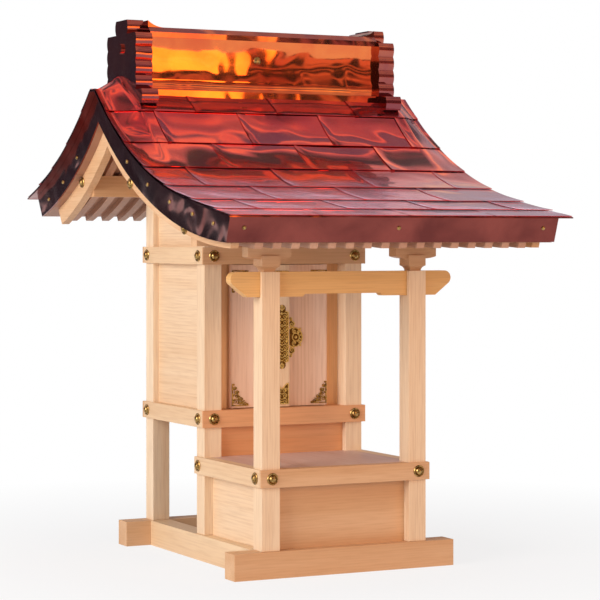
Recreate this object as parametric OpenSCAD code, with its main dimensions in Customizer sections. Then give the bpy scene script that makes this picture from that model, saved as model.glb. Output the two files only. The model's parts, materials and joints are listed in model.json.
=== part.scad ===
// House shrine of plain cypress under a swept copper roof.
// The front slope runs on over a small porch, so the roof is longer in front than behind.
// X runs along the ridge, -Y is the front and Z is up. The origin is on the ground,
// under the middle of the roof's depth.

/* [Body] */
// Width of the body over its corner posts
body_w = 242; // [200:1:290]
// Depth of the body over its corner posts
body_d = 203; // [170:1:230]
// Side of the square posts
post = 25.6; // [20:0.2:29]
// How far the wall panels lie behind the posts' faces
panel_recess = 9; // [5:0.5:11]
// Thickness of the wall panels
panel_t = 6; // [4:0.5:8]
// Thickness of the body's floor board
body_floor_t = 8; // [6:0.5:12]

/* [Rails] */
// Height of every rail board
rail_h = 23.2; // [18:0.2:26]
// How far the rails stand proud of the posts
rail_proud = 3.8; // [2:0.2:6]
// Top of the lower rail, which is the door sill
lower_rail_top = 203.6; // [190:0.2:220]
// Top of the upper rail, which is the door head
upper_rail_top = 425; // [405:1:435]
// Top of the porch rail and of the porch floor
porch_rail_top = 140; // [120:1:150]

/* [Base] */
// Length of the front and back sills past the body's sides
sill_over = 41; // [30:0.5:60]
// Width of the sills
sill_w = 29.4; // [27:0.2:36]
// Height of the sills
sill_h = 34.8; // [28:0.2:42]

/* [Porch] */
// Distance from the porch posts' faces to the middle posts' faces
porch_d = 179; // [150:1:190]
// How far the porch panels lie behind the posts' faces
porch_recess = 13; // [9:0.5:14]
// Thickness of the porch floor board
porch_floor_t = 8; // [6:0.5:12]
// Height of the tie beam between the porch posts
tie_h = 32.4; // [26:0.2:36]
// Thickness of the tie beam
tie_t = 14; // [10:0.5:18]
// Length of each carved nosing past its post
nosing_l = 42; // [34:0.5:50]
// Height of the shallow cut under the middle of the tie beam
tie_cut_h = 3.5; // [2:0.5:5]
// Length of the tie beam's full depth inside each post
tie_heel = 36; // [25:1:50]
// Height of the bearing block on each porch post
block_h = 20.4; // [16:0.2:24]
// Height of the hollow that draws in the block's foot
block_hollow = 7; // [5:0.5:9]
// Side of the bearing block's foot
block_foot = 16; // [12:0.5:18]
// Length of the boat-shaped bracket arm
arm_l = 62; // [50:1:74]
// Height of the bracket arm
arm_h = 17; // [14:0.5:20]
// Rise of the bracket arm's lower edge towards its ends
arm_rise = 3; // [2:0.5:6]
// Thickness of the bracket arm and of the porch purlin
arm_t = 18; // [13:0.5:21]
// Depth to which the arm is let into the block
arm_seat = 4.2; // [2:0.2:6]

/* [Doors] */
// Thickness of a door leaf
leaf_t = 8.4; // [6:0.2:10]
// Depth from the middle posts' faces to the leaves' faces
leaf_recess = 15; // [12:0.5:18]
// Width of the jamb that shows beside a leaf
jamb_show = 19.8; // [12:0.2:26]
// Width of the jamb behind a leaf's hanging edge
jamb_lap = 7; // [4:0.5:10]
// Thickness of a jamb
jamb_t = 7.5; // [5:0.5:10]
// Gap round a leaf
door_gap = 1; // [0.6:0.1:1.5]
// Width of the meeting strip on the left leaf
strip_w = 23.6; // [16:0.2:30]
// How far the meeting strip stands proud of the leaf
strip_t = 7; // [4:0.5:9]
// Radius of the pivot pins
pivot_r = 2; // [1.5:0.1:3]
// Length of the pivot pins
pivot_l = 7; // [4:0.5:9]
// Running clearance round a pivot pin
pivot_clear = 0.08; // [0.05:0.01:0.1]

/* [Roof] */
// Depth of the roof over both eave lips
roof_d = 704; // [660:1:740]
// Width of the roof over its verge faces
roof_w = 470; // [440:1:520]
// Distance of the ridge, and of the body's middle, behind the middle of the roof's depth
ridge_y = 94.5; // [85:0.5:100]
// Height at which the sweeps of the verges meet over the ridge
ridge_z = 649; // [635:1:665]
// How far the crest is cut down at the verges
verge_cut = 9; // [4:1:14]
// Height of the front eave's lip
front_eave_z = 464.7; // [460:0.1:470]
// Height of the back eave's lip
back_eave_z = 496; // [490:1:502]
// Slope of the front verges at the eave, in degrees
eave_slope = 8.6; // [7:0.1:10]
// Slope of the front verges where the flat lower sweep joins the upper one, in degrees
joint_slope = 11.5; // [10.5:0.1:13]
// Radius of the flat lower sweep of the front verges
front_low_r = 3000; // [2400:50:4000]
// Radius of the back slope's sweep along the verges
back_r = 580; // [540:5:640]
// How far the crest stands above the meeting of the sweeps, between the verges
crest_rise = 11; // [6:1:16]
// Half depth of the straight crown under the ridge box
crown_half = 74; // [66:1:82]
// How far the crown's edges stand above the verges
crown_rise = 25; // [18:1:30]
// Distance below the crown over which the roof field comes down to the verges
crown_fade = 150; // [120:5:200]
// Width of the strip that bends down to each verge
bend_w = 32; // [26:1:40]
// Thickness of the copper roofing sheet
sheet_t = 2; // [1.5:0.1:3]
// Overhang of the sheet past the eave fascias
eave_lip = 19; // [12:1:25]
// Overhang of the sheet past the verges
verge_lip = 9.5; // [6:0.5:14]
// Plumb depth of the copper-wrapped slabs at the ridge
slab_ridge_h = 52; // [46:1:58]
// Height of the front fascia
front_fascia_h = 32; // [26:1:38]
// Height of the back fascia
back_fascia_h = 27; // [22:1:34]
// How far the front fascia leans in at its foot
front_lean = 11; // [6:1:18]
// How far the back fascia leans in at its foot
back_lean = 17; // [8:1:22]
// Radius of the front slab's underside
front_under_r = 675; // [640:5:740]
// Radius of the back slab's underside
back_under_r = 495; // [465:5:540]

/* [Timbers] */
// Width of a rafter
rafter_w = 11; // [8:0.5:13]
// Height of a rafter
rafter_h = 8; // [6:0.5:12]
// Spacing of the rafters
rafter_pitch = 25.2; // [22:0.2:30]
// Distance of the rafters' ends behind the fascia
rafter_setback = 4; // [2:1:12]
// Height of the bargeboards
barge_h = 25; // [18:0.5:30]
// Thickness of the bargeboards
barge_t = 11; // [7:0.5:14]
// How far the bargeboards lie behind the verge faces
barge_inset = 13; // [9:0.5:18]
// Distance of the front bargeboards' ends behind the fascia
barge_front_setback = 14; // [6:1:40]
// Distance of the back bargeboards' ends behind the fascia
barge_back_setback = 40; // [6:1:60]
// Height of the middle and back purlins at their lower edge
purlin_edge_h = 14; // [8:0.5:20]
// Height of the porch purlin at its lower edge
porch_purlin_h = 17; // [12:0.5:22]
// Height of the ridge beam at its lower edge
ridge_beam_h = 22; // [16:1:28]
// Thickness of the ridge beam
ridge_beam_t = 22; // [16:1:26]

/* [Ridge] */
// Distance of the ridge's ends behind the verge faces
ridge_inset = 34.2; // [20:0.2:50]
// Thickness of an end plate
plate_t = 24.4; // [18:0.2:28]
// Height of the ridge box over the roof field
box_h = 67; // [58:1:76]
// Half depth of the ridge box's face
box_half = 41; // [34:0.5:45]
// How far the ridge box's foot stands out past its face
foot_over = 5; // [3:0.5:8]
// Height of the hollow flare between the face and the foot
flare_h = 15; // [10:0.5:18]
// Height of the ridge box's face
face_h = 57; // [48:1:60]
// Depth of the hollow in the ridge box's face
face_hollow = 2; // [0.5:0.5:4]
// Height of the ridge box's cap
cap_h = 14; // [10:0.5:17]
// Overhang of the cap past the face
cap_over = 4; // [2:0.5:7]
// Rise of the cap's ends against the end plates
cap_rise = 9; // [4:0.5:9.5]
// Length of the cap's rising ends
cap_rise_l = 24; // [15:1:40]
// Spacing of the scallops down an end plate's edges
scallop_pitch = 19.5; // [16:0.5:20]
// Radius of a scallop
scallop_r = 17; // [13:0.5:20]
// Height of an end plate over the box's cap
plate_over = 10.5; // [6:0.5:14]
// Half depth of an end plate
plate_half = 52.7; // [50:0.1:58]
// Half depth of an end plate's top tier
plate_top_half = 22.4; // [20:0.2:28]
// Half depth of an end plate's foot
plate_foot_half = 74; // [68:0.5:80]
// Radius of the round boss on an end plate
boss_r = 7; // [5:0.5:10]
// Height of the round boss on an end plate
boss_h = 3; // [2:0.5:5]

/* [Hidden] */

WOOD = "#D9A876";
WOOD_PALE = "#EFCFA6";
COPPER = "#8E3A32";

// Facets of a large sweep and of a small round
SWEEP_FN = 360;
ROUND_FN = 48;

// Plan of the frame: _f is the front face of a piece and _b its back face
post_x = body_w / 2 - post;
mid_f = ridge_y - body_d / 2;
mid_b = mid_f + post;
back_b = ridge_y + body_d / 2;
back_f = back_b - post;
porch_f = mid_f - porch_d;
porch_b = porch_f + post;
porch_mid = porch_f + post / 2;
rail_half = body_w / 2 + rail_proud;
wall_x = body_w / 2 - panel_recess - panel_t;
back_wall_f = back_b - panel_recess - panel_t;
porch_side_x = body_w / 2 - porch_recess - panel_t;
sill_half = body_w / 2 + sill_over;
front_sill_f = porch_f - rail_proud;
back_sill_f = back_b + rail_proud - sill_w;
side_sill_x = rail_half - sill_w;
porch_floor_z = porch_rail_top - porch_floor_t;
kick_f = mid_f + panel_recess;

// Doors
strip_edge = strip_w / 2;
leaf_f = mid_f + leaf_recess;
leaf_b = leaf_f + leaf_t;
leaf_x = post_x - jamb_show;
hinge_x = leaf_x - leaf_t / 2;
hinge_y = leaf_f + leaf_t / 2;
leaf_z0 = lower_rail_top + door_gap;
leaf_z1 = upper_rail_top - rail_h - door_gap;
jamb_f = leaf_b + door_gap / 2;
jamb_b = jamb_f + jamb_t;

// Roof sweeps are arcs through an eave and the ridge, with their centres above the roof
function sweep_centre(eave, ridge, r) =
  let (run = ridge - eave, half = norm(run) / 2, up = [-run[1], run[0]] / norm(run))
  (eave + ridge) / 2 + sign(run[0]) * up * sqrt(r * r - half * half);
function sweep_z(c, r, y) = c[1] - sqrt(r * r - pow(y - c[0], 2));
front_lip = [-roof_d / 2, front_eave_z];
back_lip = [roof_d / 2, back_eave_z];
field_z = ridge_z + crest_rise;
verge_top = ridge_z - verge_cut;
under_z = ridge_z - slab_ridge_h;
back_c = sweep_centre(back_lip, [ridge_y, ridge_z], back_r);
// The front verges are two arcs, tangent to each other on the line that runs up from the joint
front_low_c = front_lip + front_low_r * [-sin(eave_slope), cos(eave_slope)];
joint_up = [-sin(joint_slope), cos(joint_slope)];
front_joint = front_low_c - front_low_r * joint_up;
joint_run = [ridge_y, ridge_z] - front_joint;
front_high_r = joint_run * joint_run / (2 * joint_up * joint_run);
front_high_c = front_joint + front_high_r * joint_up;
function front_z(y, down) = y < front_joint[0] - down * joint_up[0]
  ? sweep_z(front_low_c, front_low_r + down, y) : sweep_z(front_high_c, front_high_r + down, y);
// Height of a verge, or of what lies a distance down below its sheet
function verge_z(front, y, down) =
  min(verge_top - down, front ? front_z(y, down) : sweep_z(back_c, back_r + down, y));
// Height of the roof field: a straight crown, below it a rise over the verge that fades out
function field_top(front, y) =
  let (out = abs(y - ridge_y), edge = ridge_y + (front ? -1 : 1) * crown_half)
  out < crown_half
    ? field_z + (verge_z(front, edge, 0) + crown_rise - field_z) * out / crown_half
    : verge_z(front, y, 0) + crown_rise * pow(max(0, 1 - (out - crown_half) / crown_fade), 2);
front_foot = front_lip + [eave_lip + front_lean, -front_fascia_h];
back_foot = back_lip - [eave_lip + back_lean, back_fascia_h];
front_under_c = sweep_centre(front_foot, [ridge_y, under_z], front_under_r);
back_under_c = sweep_centre(back_foot, [ridge_y, under_z], back_under_r);
verge_x = roof_w / 2;
barge_x = verge_x - barge_inset - barge_t;

// Heights of the post heads follow from the rafters that they carry
mid_post_top = sweep_z(front_under_c, front_under_r + rafter_h, mid_f) - purlin_edge_h;
back_post_top = sweep_z(back_under_c, back_under_r + rafter_h, back_b) - purlin_edge_h;
porch_purlin_z = sweep_z(front_under_c, front_under_r + rafter_h, porch_mid - arm_t / 2) - porch_purlin_h;
arm_z = porch_purlin_z - arm_h;
block_z = arm_z + arm_seat - block_h;
tie_z = block_z - tie_h;
ridge_beam_z =
  sweep_z(front_under_c, front_under_r + rafter_h, ridge_y - ridge_beam_t / 2) - ridge_beam_h;

// Ridge levels
ridge_half = verge_x - ridge_inset;
box_x = ridge_half - plate_t;
box_top = field_z + box_h;
cap_z = box_top - cap_h;
face_z = cap_z - face_h;
foot_half = box_half + foot_over;
flare_r = (flare_h * flare_h + foot_over * foot_over) / (2 * foot_over);
scallops = 4;
plate_top = box_top + plate_over;
shoulder_z = plate_top - scallop_pitch;
foot_z = shoulder_z - scallops * scallop_pitch;
// Clearance between the faceted roofing and what lies under it or stands on it
seat_clear = 0.3;

// Extrudes an outline drawn in (Y, Z) along X, from x0 to x1
module along_x(x0, x1) {
  translate([x0, 0, 0]) rotate([90, 0, 90]) linear_extrude(height = x1 - x0) children();
}

// Extrudes an outline drawn in (X, Z) along Y, from y0 to y1
module along_y(y0, y1) {
  translate([0, y1, 0]) rotate([90, 0, 0]) linear_extrude(height = y1 - y0) children();
}

module box(x0, x1, y0, y1, z0, z1) {
  translate([x0, y0, z0]) cube([x1 - x0, y1 - y0, z1 - z0]);
}

// Puts what is drawn on the right on the left instead, for a side of -1
module on_side(side) {
  mirror([side < 0 ? 1 : 0, 0, 0]) children();
}

module both_sides() {
  children();
  mirror([1, 0, 0]) children();
}

module disc(c, r) {
  translate(c) circle(r = r, $fn = SWEEP_FN);
}

// Half plane in front of the ridge or behind it, as a large square in (Y, Z)
module half_section(front) {
  translate([front ? ridge_y - roof_d : ridge_y, 0]) square([roof_d, 2 * ridge_z]);
}

// Everything that lies below the rafters' undersides
module under_rafters() {
  difference() {
    half_section(true);
    disc(front_under_c, front_under_r + rafter_h);
  }
  difference() {
    half_section(false);
    disc(back_under_c, back_under_r + rafter_h);
  }
}

// Base
module front_sill() {
  color(WOOD) box(-sill_half, sill_half, front_sill_f, front_sill_f + sill_w, 0, sill_h);
}

module back_sill() {
  color(WOOD) box(-sill_half, sill_half, back_sill_f, back_sill_f + sill_w, 0, sill_h);
}

module side_sills() {
  color(WOOD_PALE) both_sides()
    box(side_sill_x, rail_half, front_sill_f + sill_w, back_sill_f, 0, sill_h);
}

// Posts: the tie beam lies in a slot across the head of each porch post
module porch_post(side) {
  color(WOOD_PALE) on_side(side) difference() {
    box(post_x, body_w / 2, porch_f, porch_b, sill_h, block_z);
    box(post_x - post, body_w, porch_mid - tie_t / 2, porch_mid + tie_t / 2, tie_z, block_z + tie_h);
  }
}

module body_post(side, y0, top) {
  color(WOOD_PALE) on_side(side) box(post_x, body_w / 2, y0, y0 + post, sill_h, top);
}

// Porch
module porch_front_panel() {
  color(WOOD) box(-post_x, post_x, porch_f + porch_recess, porch_f + porch_recess + panel_t,
    sill_h, porch_floor_z);
}

module porch_side_panels() {
  color(WOOD_PALE) both_sides()
    box(porch_side_x, porch_side_x + panel_t, porch_b, mid_f, sill_h, porch_floor_z);
}

module porch_floor() {
  side = porch_side_x + panel_t;
  color(WOOD_PALE) union() {
    box(-side, side, porch_b, mid_f, porch_floor_z, porch_rail_top);
    box(-post_x, post_x, porch_f + porch_recess, kick_f, porch_floor_z, porch_rail_top);
  }
}

// Each rail is one board that is notched round the posts and thickened between them
module porch_front_rail() {
  z0 = porch_rail_top - rail_h;
  color(WOOD) union() {
    box(-rail_half, rail_half, porch_f - rail_proud, porch_f, z0, porch_rail_top);
    box(-post_x, post_x, porch_f - rail_proud, porch_f + porch_recess, z0, porch_rail_top);
  }
}

module porch_side_rails() {
  z0 = porch_rail_top - rail_h;
  color(WOOD_PALE) both_sides() union() {
    box(body_w / 2, rail_half, porch_f, mid_b, z0, porch_rail_top);
    box(porch_side_x + panel_t, rail_half, porch_b, mid_f, z0, porch_rail_top);
  }
}

// Tie beam: nosings with a round tip and a drawn-in throat, and a shallow cut under the middle
module nosing() {
  tip_share = 0.29;
  throat_share = 0.43;
  throat_turn = 52.5;
  tip_r = tie_h * tip_share;
  tip = [nosing_l - tip_r, tie_z + tie_h - tip_r];
  union() {
    translate([0, tip[1]]) square([tip[0], tip_r]);
    translate(tip) circle(r = tip_r, $fn = ROUND_FN);
    polygon([[0, tie_z], [nosing_l * throat_share, tie_z],
      tip + tip_r * [cos(throat_turn), -sin(throat_turn)], tip, [0, tip[1]]]);
  }
}

module tie_beam() {
  cut = post_x - tie_heel;
  color(WOOD) along_y(porch_mid - tie_t / 2, porch_mid + tie_t / 2) union() {
    difference() {
      translate([-body_w / 2, tie_z]) square([body_w, tie_h]);
      polygon([[-cut, tie_z - tie_cut_h], [-cut, tie_z], [-cut + tie_cut_h, tie_z + tie_cut_h],
        [cut - tie_cut_h, tie_z + tie_cut_h], [cut, tie_z], [cut, tie_z - tie_cut_h]]);
    }
    for (side = [0, 1])
      mirror([side, 0]) translate([body_w / 2, 0]) nosing();
  }
}

// Bearing block: square above, drawn in by a hollow curve below, with a seat for the arm
module bearing_blocks() {
  draw_in = (post - block_foot) / 2;
  hollow_r = (draw_in * draw_in + block_hollow * block_hollow) / (2 * draw_in);
  color(WOOD) both_sides() translate([post_x + post / 2, porch_mid, block_z]) difference() {
    box(-post / 2, post / 2, -post / 2, post / 2, 0, block_h);
    for (turn = [0:90:270])
      rotate([0, 0, turn]) translate([block_foot / 2 + hollow_r, 0, 0]) rotate([90, 0, 0])
        cylinder(r = hollow_r, h = 2 * post, center = true, $fn = 2 * ROUND_FN);
    box(-post, post, -arm_t / 2, arm_t / 2, block_h - arm_seat, 2 * block_h);
  }
}

// Bracket arm: flat over the block, its lower edge rising in an arc to each end
module bracket_arms() {
  run = (arm_l - post) / 2;
  rise_r = (run * run + arm_rise * arm_rise) / (2 * arm_rise);
  color(WOOD) both_sides() translate([post_x + post / 2, 0, 0])
    along_y(porch_mid - arm_t / 2, porch_mid + arm_t / 2) difference() {
      translate([-arm_l / 2, arm_z]) square([arm_l, arm_h]);
      for (side = [0, 1])
        mirror([side, 0]) difference() {
          translate([post / 2, arm_z - arm_h]) square([arm_l, arm_h + arm_rise]);
          translate([post / 2, arm_z + rise_r]) circle(r = rise_r, $fn = SWEEP_FN);
        }
    }
}

// Purlins run from bargeboard to bargeboard, their tops planed to the rafters
module purlin(y0, y1, z0) {
  color(WOOD) along_x(-barge_x, barge_x) intersection() {
    translate([y0, z0]) square([y1 - y0, ridge_z]);
    under_rafters();
  }
}

// Rails round the body: the front ones are also the door's sill and head
module rail_front(top) {
  box(-rail_half, rail_half, mid_f - rail_proud, mid_f, top - rail_h, top);
  box(-post_x, post_x, mid_f - rail_proud, jamb_b, top - rail_h, top);
}

module rail_sides(top) {
  color(WOOD_PALE) both_sides() union() {
    box(body_w / 2, rail_half, mid_f, back_b, top - rail_h, top);
    box(wall_x + panel_t, rail_half, mid_b, back_f, top - rail_h, top);
  }
}

module rail_back(top) {
  color(WOOD) union() {
    box(-rail_half, rail_half, back_b, back_b + rail_proud, top - rail_h, top);
    box(-post_x, post_x, back_wall_f + panel_t, back_b + rail_proud, top - rail_h, top);
  }
}

module pivot_holes(z0) {
  for (side = [-1, 1])
    translate([side * hinge_x, hinge_y, z0])
      cylinder(r = pivot_r + pivot_clear, h = pivot_l, $fn = ROUND_FN);
}

module lower_front_rail() {
  color(WOOD) difference() {
    union() rail_front(lower_rail_top);
    pivot_holes(lower_rail_top - pivot_l);
  }
}

module upper_front_rail() {
  color(WOOD) difference() {
    union() rail_front(upper_rail_top);
    pivot_holes(upper_rail_top - rail_h);
  }
}

// Walls: the side walls rise between the posts to the rafters and carry the ridge beam
module side_wall(side) {
  color(WOOD_PALE) on_side(side) along_x(wall_x, wall_x + panel_t) difference() {
    intersection() {
      translate([mid_b, lower_rail_top - rail_h]) square([back_f - mid_b, ridge_z]);
      under_rafters();
    }
    translate([ridge_y - ridge_beam_t / 2, ridge_beam_z]) square([ridge_beam_t, ridge_z]);
  }
}

module back_wall() {
  color(WOOD_PALE) box(-post_x, post_x, back_wall_f, back_wall_f + panel_t,
    lower_rail_top - rail_h, back_post_top);
}

module upper_front_wall() {
  color(WOOD_PALE) box(-post_x, post_x, mid_f + panel_recess, mid_f + panel_recess + panel_t,
    upper_rail_top, mid_post_top);
}

module kick_panel() {
  color(WOOD) box(-post_x, post_x, kick_f, kick_f + panel_t, porch_floor_z, lower_rail_top - rail_h);
}

module body_floor() {
  floor_z = lower_rail_top - body_floor_t;
  color(WOOD_PALE) union() {
    box(-wall_x, wall_x, jamb_b, back_f, floor_z, lower_rail_top);
    box(-post_x, post_x, jamb_b, back_wall_f, floor_z, lower_rail_top);
  }
}

module door_jambs() {
  color(WOOD) both_sides()
    box(leaf_x - jamb_lap, post_x, jamb_f, jamb_b, lower_rail_top, upper_rail_top - rail_h);
}

// Doors: each leaf has a rounded hanging edge and turns on pins in the sill and the head
module leaf(free_x) {
  pin_z0 = lower_rail_top + door_gap - pivot_l;
  pin_z1 = upper_rail_top - rail_h - door_gap + pivot_l;
  color(WOOD_PALE) union() {
    box(free_x, hinge_x, leaf_f, leaf_b, leaf_z0, leaf_z1);
    translate([hinge_x, hinge_y, leaf_z0]) cylinder(d = leaf_t, h = leaf_z1 - leaf_z0, $fn = ROUND_FN);
    translate([hinge_x, hinge_y, pin_z0]) cylinder(r = pivot_r, h = pin_z1 - pin_z0, $fn = ROUND_FN);
  }
}

module door_leaf_left() {
  on_side(-1) leaf(-strip_edge);
}

module door_leaf_right() {
  leaf(strip_edge + door_gap);
}

module meeting_strip() {
  color(WOOD_PALE) box(-strip_edge, strip_edge, leaf_f - strip_t, leaf_f, leaf_z0, leaf_z1);
}

// Outline in (Y, Z) of what lies between a leaning eave line and the ridge
module front_slope(setback) {
  lean = [front_lean, -front_fascia_h];
  eave = front_foot + [setback, 0];
  polygon([eave - 4 * lean, eave + 3 * lean, [ridge_y, (eave + 3 * lean)[1]], [ridge_y, field_z]]);
}

module back_slope(setback) {
  lean = [-back_lean, -back_fascia_h];
  eave = back_foot - [setback, 0];
  polygon([eave - 4 * lean, eave + 3 * lean, [ridge_y, (eave + 3 * lean)[1]], [ridge_y, field_z]]);
}

// Bands of timber that hang from the slabs' undersides
module front_band(depth, setback) {
  intersection() {
    difference() {
      disc(front_under_c, front_under_r + depth);
      disc(front_under_c, front_under_r);
    }
    front_slope(setback);
  }
}

module back_band(depth, setback) {
  intersection() {
    difference() {
      disc(back_under_c, back_under_r + depth);
      disc(back_under_c, back_under_r);
    }
    back_slope(setback);
  }
}

rafter_pairs = floor((barge_x - rafter_w / 2) / rafter_pitch + 0.5);
rafter_xs = [for (i = [0.5 - rafter_pairs:rafter_pairs - 0.5]) i * rafter_pitch - rafter_w / 2];

module rafters_front() {
  color(WOOD) for (x = rafter_xs)
    along_x(x, x + rafter_w) front_band(rafter_h, rafter_setback);
}

module rafters_back() {
  color(WOOD) for (x = rafter_xs)
    along_x(x, x + rafter_w) back_band(rafter_h, rafter_setback);
}

module bargeboard_front(side) {
  color(WOOD_PALE) on_side(side)
    along_x(barge_x, barge_x + barge_t) front_band(barge_h, barge_front_setback);
}

module bargeboard_back(side) {
  color(WOOD_PALE) on_side(side)
    along_x(barge_x, barge_x + barge_t) back_band(barge_h, barge_back_setback);
}

// What lies under the front verges' sweeps: below the flat arc, and past the joint below the other
module below_front(down) {
  low = front_joint - roof_d * joint_up;
  high = front_joint + (verge_top - down - front_joint[1]) / joint_up[1] * joint_up;
  difference() {
    translate([-roof_d, 0]) square([2 * roof_d, verge_top - down]);
    disc(front_low_c, front_low_r + down);
  }
  difference() {
    polygon([low, [roof_d, low[1]], [roof_d, verge_top - down], high]);
    disc(front_high_c, front_high_r + down);
  }
}

// Copper-wrapped slabs: swept above and below, square to the slope at the eaves, flat at the crest
module roof_slab_front() {
  color(COPPER) along_x(-verge_x, verge_x) intersection() {
    disc(front_under_c, front_under_r);
    front_slope(0);
    below_front(sheet_t);
  }
}

module roof_slab_back() {
  color(COPPER) along_x(-verge_x, verge_x) difference() {
    intersection() {
      disc(back_under_c, back_under_r);
      back_slope(0);
      square([2 * roof_d, verge_top - sheet_t]);
    }
    disc(back_c, back_r + sheet_t);
  }
}

// Roofing: the field in the middle stands up to a crown and bends down to the verges
slope_steps = 20;
crown_steps = 5;
bend_steps = 4;
lip_x = verge_x + verge_lip;
bend_xs = concat([lip_x], [for (i = [0:bend_steps]) verge_x - bend_w * i / bend_steps]);
station_xs = concat([for (x = bend_xs) -x], [for (i = [len(bend_xs) - 1:-1:0]) bend_xs[i]]);
function field_share(x) = max(0, min(1, (verge_x - abs(x)) / bend_w));
// Where the underside of the sheet turns flat at the crest
function corner_y(front, down) =
  let (c = front ? front_high_c : back_c, r = (front ? front_high_r : back_r) + down)
  c[0] + (front ? 1 : -1) * sqrt(r * r - pow(c[1] - verge_top + down, 2));
// Stations up a slope, closer together on the crown
function slope_ys(front, eave_y) =
  let (edge = ridge_y + (front ? -1 : 1) * crown_half, corner = corner_y(front, sheet_t - seat_clear))
  concat(
    [for (i = [0:slope_steps - 1]) eave_y + (edge - eave_y) * i / slope_steps],
    [for (i = [0:crown_steps]) edge + (corner - edge) * i / crown_steps], [ridge_y]);

module roofing(front, eave_y) {
  ys = slope_ys(front, eave_y);
  count = len(ys);
  ring = 2 * count;
  function top_z(x, y) =
    let (low = verge_z(front, y, 0)) low + (field_top(front, y) - low) * field_share(x);
  points = [
    for (x = station_xs) each concat(
      [for (y = ys) [x, y, top_z(x, y)]],
      [for (i = [count - 1:-1:0]) [x, ys[i], verge_z(front, ys[i], sheet_t - seat_clear)]])];
  last = (len(station_xs) - 1) * ring;
  skin = [
    for (s = [0:len(station_xs) - 2], i = [0:ring - 1])
      let (a = s * ring + i, b = s * ring + (i + 1) % ring)
      each station_xs[s] < 0
        ? [[a, a + ring, b + ring], [a, b + ring, b]]
        : [[a, a + ring, b], [b, a + ring, b + ring]]];
  ends = [
    for (i = [0:count - 2])
      let (a = i, b = i + 1, p = ring - 1 - i, q = ring - 2 - i)
      each [[a, b, p], [b, q, p], [last + a, last + p, last + b], [last + b, last + p, last + q]]];
  faces = concat(skin, ends);
  outward = front ? faces : [for (f = faces) [f[0], f[2], f[1]]];
  color(COPPER) polyhedron(points = points, faces = outward, convexity = 4);
}

// What lies below the crown and the field beside it, with a little clearance
module under_field() {
  reach = 2 * crown_half;
  front_ys = [for (y = slope_ys(true, front_lip[0])) if (y > ridge_y - reach) y];
  back_ys = [for (y = slope_ys(false, back_lip[0])) if (y > ridge_y && y < ridge_y + reach) y];
  polygon(concat(
    [for (y = front_ys) [y, field_top(true, y) + seat_clear]],
    [for (i = [len(back_ys) - 1:-1:0]) [back_ys[i], field_top(false, back_ys[i]) + seat_clear]],
    [[back_ys[0], 0], [front_ys[0], 0]]));
}

// Ridge box: an upright foot, a hollow flare and a slightly hollow face on each side
module ridge_box() {
  hollow_r = (face_h * face_h / 4 + face_hollow * face_hollow) / (2 * face_hollow);
  color(COPPER) along_x(-box_x, box_x) difference() {
    translate([ridge_y - foot_half, under_z]) square([2 * foot_half, cap_z - under_z]);
    for (side = [-1, 1]) {
      translate([ridge_y + side * foot_half, face_z + face_h])
        square([2 * foot_over, 2 * face_h], center = true);
      intersection() {
        translate([ridge_y + side * (box_half + flare_r), face_z])
          circle(r = flare_r, $fn = SWEEP_FN);
        translate([ridge_y + side * foot_half, face_z - flare_h / 2])
          square([2 * foot_over, flare_h], center = true);
      }
      translate([ridge_y + side * (box_half - face_hollow + hollow_r), face_z + face_h / 2])
        intersection() {
          circle(r = hollow_r, $fn = SWEEP_FN);
          square([2 * hollow_r, face_h], center = true);
        }
    }
    under_field();
  }
}

// Cap of the ridge box: bevelled along its edges, its ends rising against the end plates
module ridge_cap() {
  rise_r = (cap_rise_l * cap_rise_l + cap_rise * cap_rise) / (2 * cap_rise);
  half = box_half + cap_over;
  top_half = box_half - cap_over;
  bevel_z = cap_z + cap_h / 2;
  color(COPPER) intersection() {
    along_x(-box_x, box_x)
      translate([ridge_y, 0]) polygon([
        [-half, cap_z], [half, cap_z], [half, bevel_z], [top_half, box_top],
        [top_half, box_top + cap_rise], [-top_half, box_top + cap_rise], [-top_half, box_top],
        [-half, bevel_z]]);
    along_y(ridge_y - half, ridge_y + half) difference() {
      translate([-box_x, cap_z]) square([2 * box_x, cap_h + cap_rise]);
      translate([cap_rise_l - box_x, box_top]) square([2 * (box_x - cap_rise_l), 2 * cap_rise]);
      for (side = [0, 1])
        mirror([side, 0]) translate([box_x - cap_rise_l, box_top + rise_r])
          circle(r = rise_r, $fn = 2 * SWEEP_FN);
    }
  }
}

// End plates: a tall middle with scalloped edges, a narrow top tier and a wide foot
module tier(half, z0, lobes) {
  core = half - scallop_r;
  intersection() {
    translate([-half, z0]) square([2 * half, lobes * scallop_pitch]);
    union() {
      translate([-core, z0]) square([2 * core, lobes * scallop_pitch]);
      for (side = [-1, 1], i = [0:lobes - 1])
        translate([side * core, z0 + (i + 0.5) * scallop_pitch]) circle(r = scallop_r, $fn = 2 * ROUND_FN);
    }
  }
}

module ridge_plate(side) {
  color(COPPER) on_side(side) union() {
    along_x(box_x, ridge_half) difference() {
      translate([ridge_y, 0]) union() {
        tier(plate_foot_half, foot_z - scallop_pitch, 1);
        tier(plate_half, foot_z, scallops);
        tier(plate_top_half, shoulder_z, 1);
        translate([-plate_half / 2, under_z]) square([plate_half, foot_z - under_z]);
      }
      under_field();
    }
    translate([ridge_half, ridge_y, shoulder_z - scallop_pitch]) rotate([0, 90, 0])
      cylinder(r = boss_r, h = boss_h, $fn = ROUND_FN);
  }
}

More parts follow.
